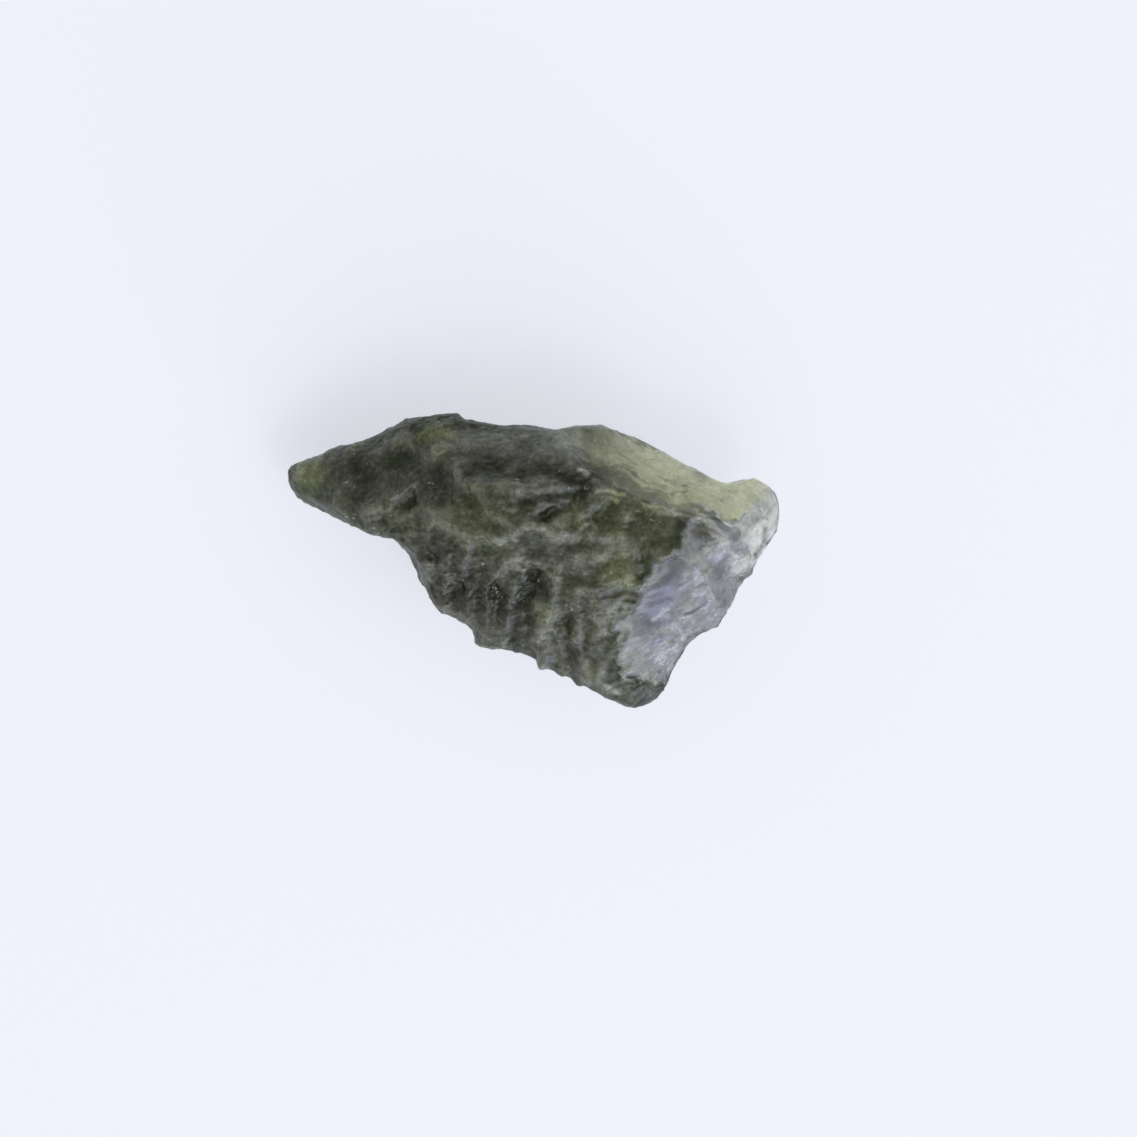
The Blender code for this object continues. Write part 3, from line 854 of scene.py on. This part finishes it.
@dataclass(frozen=True)
class GlassFinish:
    """Moldavite glass: see-through green by plain absorption, satin where etched, glossy where broken."""

    refraction: float = 1.49
    transmission: float = 0.78
    absorb_colour: Colour = (0.60, 0.62, 0.45, 1.0)
    absorb_density: float = 650.0
    etched_roughness: float = 0.34
    broken_roughness: float = 0.14
    grain_scale: float = 8000.0
    patch_scale: float = 2200.0
    grain_depth: float = 0.02 * MM
    # painted glints: the mottle above this turns the colour white
    glint_above: float = 0.412
    grain_dark: float = 0.5
    grain_light: float = 1.45
    detail: float = 3.0
    mottle_range: Point2 = (0.14, 0.36)

    def make(self) -> bpy.types.Material:
        """Builds the glass material.

        Returns:
            A material that reads Object coordinates and the stone's own attributes.
        """
        material = bpy.data.materials.new("moldavite_glass")
        material.use_nodes = True
        tree = material.node_tree
        nodes, links = tree.nodes, tree.links
        shader = nodes["Principled BSDF"]
        shader.inputs["IOR"].default_value = self.refraction
        shader.inputs["Transmission Weight"].default_value = self.transmission
        etched = self.attribute(tree, Skin.ETCHED).outputs["Fac"]
        grain = self.noise(tree, self.grain_scale)
        mottle = combined(tree, "MULTIPLY", self.noise(tree, self.patch_scale), grain)
        links.new(self.colour(tree, mottle, etched), shader.inputs["Base Color"])
        roughness = (self.broken_roughness, self.etched_roughness)
        links.new(spread(tree, etched, (0.0, 1.0), roughness), shader.inputs["Roughness"])
        bump = nodes.new("ShaderNodeBump")
        bump.inputs["Distance"].default_value = self.grain_depth
        links.new(etched, bump.inputs["Strength"])
        links.new(grain, bump.inputs["Height"])
        links.new(bump.outputs["Normal"], shader.inputs["Normal"])
        body = nodes.new("ShaderNodeVolumeAbsorption")
        body.inputs["Color"].default_value = self.absorb_colour
        body.inputs["Density"].default_value = self.absorb_density
        links.new(body.outputs["Volume"], nodes["Material Output"].inputs["Volume"])
        return material

    def colour(self, tree: Tree, mottle: Socket, etched: Socket) -> Socket:
        """The stone's tone, made grainy where it is etched, with painted white glints in the mottle's few
        highest spots.

        The tone is scaled by one plus the etched share of the mottle, spread from dark to light.

        Args:
            tree: The material's nodes.
            mottle: The product of the two noises.
            etched: How etched the skin is.

        Returns:
            The colour.
        """
        speck = spread(tree, mottle, self.mottle_range, (self.grain_dark - 1, self.grain_light - 1))
        grainy = combined(tree, "MULTIPLY_ADD", speck, etched)
        grainy.node.inputs[2].default_value = 1.0
        tone = tree.nodes.new("ShaderNodeVectorMath")
        tone.operation = "SCALE"
        tree.links.new(self.attribute(tree, Skin.TONE).outputs["Vector"], tone.inputs[0])
        tree.links.new(grainy, tone.inputs["Scale"])
        # painted glints: white where the mottle is highest
        glint = combined(tree, "GREATER_THAN", mottle)
        glint.node.inputs[1].default_value = self.glint_above
        lit = tree.nodes.new("ShaderNodeVectorMath")
        lit.operation = "MAXIMUM"
        tree.links.new(tone.outputs["Vector"], lit.inputs[0])
        tree.links.new(glint, lit.inputs[1])
        return lit.outputs["Vector"]

    def noise(self, tree: Tree, scale: float) -> Socket:
        """A noise read at Object coordinates.

        Args:
            tree: The material's nodes.
            scale: The noise's scale, in cells a metre.

        Returns:
            Its value.
        """
        place = tree.nodes.new("ShaderNodeTexCoord")
        noise = tree.nodes.new("ShaderNodeTexNoise")
        noise.inputs["Scale"].default_value = scale
        noise.inputs["Detail"].default_value = self.detail
        tree.links.new(place.outputs["Object"], noise.inputs["Vector"])
        return noise.outputs["Fac"]

    @staticmethod
    def attribute(tree: Tree, skin: Skin) -> bpy.types.Node:
        """A node that reads one of the stone's attributes."""
        node = tree.nodes.new("ShaderNodeAttribute")
        node.attribute_name = skin.value
        return node


@dataclass(frozen=True)
class Stone:
    """The stone: its fine mesh, its attributes and its finish."""

    form: StoneForm = field(default_factory=StoneForm)
    sculpture: Sculpture = field(default_factory=Sculpture)
    tone: SkinTone = field(default_factory=SkinTone)
    finish: GlassFinish = field(default_factory=GlassFinish)
    squares: tuple[int, int, int] = (150, 110, 120)
    weld_digits: int = 9
    drawn_weight: float = 1.2
    fine_weight: float = 3.6
    wing_worn: float = 0.6
    end_worn: float = 0.7

    def block(self) -> tuple[Array, Array]:
        """A closed cube of squares: six grids of places from -1 to 1, joined along their edges.

        Returns:
            The places, and the four corners of each square, turned to face outwards.
        """
        places: list[Array] = []
        quads: list[Array] = []
        count = 0
        for axis, side in itertools.product(range(3), (-1, 1)):
            first, second = (axis + 1) % 3, (axis + 2) % 3
            rows, columns = self.squares[first], self.squares[second]
            row_places = np.linspace(-1, 1, rows + 1)
            column_places = np.linspace(-1, 1, columns + 1)
            grid = np.empty((rows + 1, columns + 1, 3))
            grid[..., axis] = side
            grid[..., first], grid[..., second] = np.meshgrid(row_places, column_places, indexing="ij")
            index = count + np.arange((rows + 1) * (columns + 1)).reshape(rows + 1, columns + 1)
            corners = [index[:-1, :-1], index[1:, :-1], index[1:, 1:], index[:-1, 1:]]
            quad = np.stack(corners[::side], axis=-1).reshape(-1, 4)
            places.append(grid.reshape(-1, 3))
            quads.append(quad)
            count += index.size
        rounded = np.round(np.concatenate(places), self.weld_digits)
        joined, back = np.unique(rounded, axis=0, return_inverse=True)
        return joined, back.reshape(-1)[np.concatenate(quads)]

    @staticmethod
    def normals(points: Array, quads: Array) -> Array:
        """Each point's normal: the sum of the cross products of its squares' diagonals, made unit.

        Args:
            points: The mesh's points.
            quads: The four corners of each square.

        Returns:
            Unit normals.
        """
        corners = points[quads]
        across = np.cross(corners[:, 2] - corners[:, 0], corners[:, 3] - corners[:, 1])
        total = np.zeros_like(points)
        for column in range(4):
            for part in range(3):
                total[:, part] += np.bincount(quads[:, column], across[:, part], len(points))
        return total / np.maximum(np.linalg.norm(total, axis=1, keepdims=True), TINY)

    @staticmethod
    def fitted(points: Array) -> Array:
        """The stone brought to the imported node's box, and cut flat where it rests.

        Args:
            points: The stone's points in millimetres.

        Returns:
            The points in metres.
        """
        low, high = (np.array(corner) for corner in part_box(NODE))
        least, most = points.min(axis=0), points.max(axis=0)
        scale = (high - low) / (most - least)
        scale[2] = high[2] / most[2]
        middle = (least + most) / 2
        middle[2] = 0.0
        centre = (low + high) / 2
        centre[2] = 0.0
        placed = (points - middle) * scale + centre
        placed[:, 2] = np.maximum(placed[:, 2], low[2])
        return placed

    def build(self) -> bpy.types.Object:
        """Builds the stone and dresses it.

        Returns:
            The stone's object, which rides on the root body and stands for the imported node.
        """
        block_points, quads = self.block()
        ways = self.form.directions(block_points)
        points = ways * self.form.reach(ways)[:, None]
        points[:, :2] *= self.form.outline_share(ways)[:, None]
        points += self.form.heart
        points[:, 2] += self.form.undercut(points, self.normals(points, quads))
        normals = self.normals(points, quads)
        wing, end = self.form.borders(points, normals)
        drawn = self.sculpture.drawn(points, normals)
        large = self.sculpture.large(points, normals, wing, end)
        points = points + normals * large[:, None]
        fine = self.sculpture.fine(points, normals, wing, end)
        height = self.drawn_weight * drawn + self.fine_weight * fine
        tone = self.tone.colours(points, normals, height, wing, end)
        points = points + self.normals(points, quads) * fine[:, None]
        mesh = bpy.data.meshes.new("moldavite_stone")
        mesh.from_pydata(self.fitted(points), [], quads)
        etched = 1 - self.wing_worn * wing - self.end_worn * end
        etched_layer = mesh.attributes.new(Skin.ETCHED.value, "FLOAT", "POINT")
        etched_layer.data.foreach_set("value", etched.astype(np.float32))
        # the tone attribute carries painted shade, highlights, glow and reflections
        tone_layer = mesh.attributes.new(Skin.TONE.value, "FLOAT_VECTOR", "POINT")
        tone_layer.data.foreach_set("vector", tone.astype(np.float32).ravel())
        mesh.shade_smooth()
        stone = bpy.data.objects.new("moldavite_stone", mesh)
        bpy.context.scene.collection.objects.link(stone)
        mesh.materials.append(self.finish.make())
        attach(stone, "root")
        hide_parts(NODE)
        return stone


@dataclass(frozen=True)
class SoftLamp:
    """A large soft lamp: which way it stands from the stone, how far, its size and its strength."""

    name: str
    turn: float
    rise: float
    away: float
    width: float
    height: float
    watts: float
    colour: Point3 = (1.0, 1.0, 1.0)

    def build(self, aim: Vector) -> bpy.types.Object:
        """Builds the lamp, facing the stone.

        Args:
            aim: What it faces.

        Returns:
            The lamp's object.
        """
        turn, rise = math.radians(self.turn), math.radians(self.rise)
        way = Vector((math.cos(rise) * math.cos(turn), math.cos(rise) * math.sin(turn), math.sin(rise)))
        data = bpy.data.lights.new(self.name, "AREA")
        data.shape = "RECTANGLE"
        data.size, data.size_y = self.width, self.height
        data.energy = self.watts
        data.color = self.colour
        lamp = bpy.data.objects.new(self.name, data)
        lamp.location = aim + way * self.away
        lamp.rotation_euler = way.to_track_quat("Z", "Y").to_euler()
        bpy.context.scene.collection.objects.link(lamp)
        return lamp


@dataclass(frozen=True)
class Table:
    """The plain pale floor the stone lies on."""

    half_side: float = 0.6
    gap: float = 0.02 * MM
    paper: Colour = (0.5, 0.505, 0.515, 1.0)
    glow_colour: Colour = (0.89, 0.905, 1.0, 1.0)
    glow: float = 0.62
    roughness: float = 0.8
    gloss: float = 0.2

    def build(self) -> bpy.types.Object:
        """Builds the floor as one square just under the stone.

        Returns:
            The floor's object.
        """
        mesh = bpy.data.meshes.new("table_top")
        turns = ((-1, -1), (1, -1), (1, 1), (-1, 1))
        corners = [(x * self.half_side, y * self.half_side, -self.gap) for x, y in turns]
        mesh.from_pydata(corners, [], [(0, 1, 2, 3)])
        floor = bpy.data.objects.new("table_top", mesh)
        bpy.context.scene.collection.objects.link(floor)
        material = bpy.data.materials.new("pale_paper")
        material.use_nodes = True
        shader = material.node_tree.nodes["Principled BSDF"]
        shader.inputs["Base Color"].default_value = self.paper
        shader.inputs["Roughness"].default_value = self.roughness
        shader.inputs["Specular IOR Level"].default_value = self.gloss
        shader.inputs["Emission Color"].default_value = self.glow_colour
        shader.inputs["Emission Strength"].default_value = self.glow
        mesh.materials.append(material)
        return floor


@dataclass(frozen=True)
class Room:
    """The even light of a pale tent that is open above: bright all round, dim overhead, brightest aside."""

    colour: Colour = (0.94, 0.965, 1.0, 1.0)
    around: float = 0.52
    overhead: float = 0.17
    dim_at: Point2 = (0.5, 0.9)
    bright_side: Point3 = (0.77, -0.6, 0.22)
    bright: float = 1.3
    bright_at: Point2 = (0.3, 1.0)

    def build(self) -> bpy.types.World:
        """Builds the world's light from the direction it comes from.

        Returns:
            The world, set in the scene.
        """
        world = bpy.data.worlds.new("pale_tent")
        world.use_nodes = True
        tree = world.node_tree
        nodes, links = tree.nodes, tree.links
        light = nodes["Background"]
        light.inputs["Color"].default_value = self.colour
        way = nodes.new("ShaderNodeTexCoord")
        split = nodes.new("ShaderNodeSeparateXYZ")
        links.new(way.outputs["Generated"], split.inputs["Vector"])
        ring = spread(tree, split.outputs["Z"], self.dim_at, (self.around, self.overhead), "SMOOTHSTEP")
        side = nodes.new("ShaderNodeVectorMath")
        side.operation = "DOT_PRODUCT"
        side.inputs[1].default_value = self.bright_side
        links.new(way.outputs["Generated"], side.inputs[0])
        glow = spread(tree, side.outputs["Value"], self.bright_at, (0.0, self.bright), "SMOOTHSTEP")
        links.new(combined(tree, "ADD", ring, glow), light.inputs["Strength"])
        bpy.context.scene.world = world
        return world


@dataclass(frozen=True)
class PhotoCamera:
    """A camera straight above the stone, turned as the photograph is."""

    aim: Point2 = (2.4605, -0.688)
    level: float = 3.5
    turn: float = 16.5
    lens: float = 180.0
    sensor: float = 36.0
    frame_width: float = 51.24
    nearest: float = 10.0

    def build(self) -> bpy.types.Object:
        """Builds the camera and makes it the scene's.

        Returns:
            The camera's object.
        """
        data = bpy.data.cameras.new("photo_camera")
        data.lens, data.sensor_width = self.lens, self.sensor
        data.clip_start = self.nearest * MM
        camera = bpy.data.objects.new("photo_camera", data)
        distance = self.frame_width * self.lens / self.sensor
        camera.location = (self.aim[0] * MM, self.aim[1] * MM, (self.level + distance) * MM)
        camera.rotation_euler = (0.0, 0.0, math.radians(self.turn))
        bpy.context.scene.collection.objects.link(camera)
        bpy.context.scene.camera = camera
        return camera


LAMPS = (
    SoftLamp("window", -40.0, 45.0, 0.5, 0.12, 0.12, 0.2, (1.0, 0.99, 1.0)),
    SoftLamp("low_window", -40.0, 8.5, 0.35, 0.14, 0.08, 0.2, (0.62, 0.65, 1.0)),
)
LAMP_AIM = Vector((0.0, 0.0, 3 * MM))


def main() -> None:
    """Builds the camera, the table, the lamps and the stone, and reports each."""
    logging.basicConfig(level=logging.INFO, format="%(name)s: %(message)s")
    bpy.context.scene.view_settings.view_transform = "Standard"
    camera = PhotoCamera().build()
    log.info("camera %s", camera.name)
    floor = Table().build()
    log.info("floor %s, light %s", floor.name, Room().build().name)
    for lamp in LAMPS:
        log.info("lamp %s", lamp.build(LAMP_AIM).name)
    stone = Stone().build()
    mesh = stone.data
    log.info("stone %s: %d points, %d squares", stone.name, len(mesh.vertices), len(mesh.polygons))


if __name__ == "__main__":
    main()
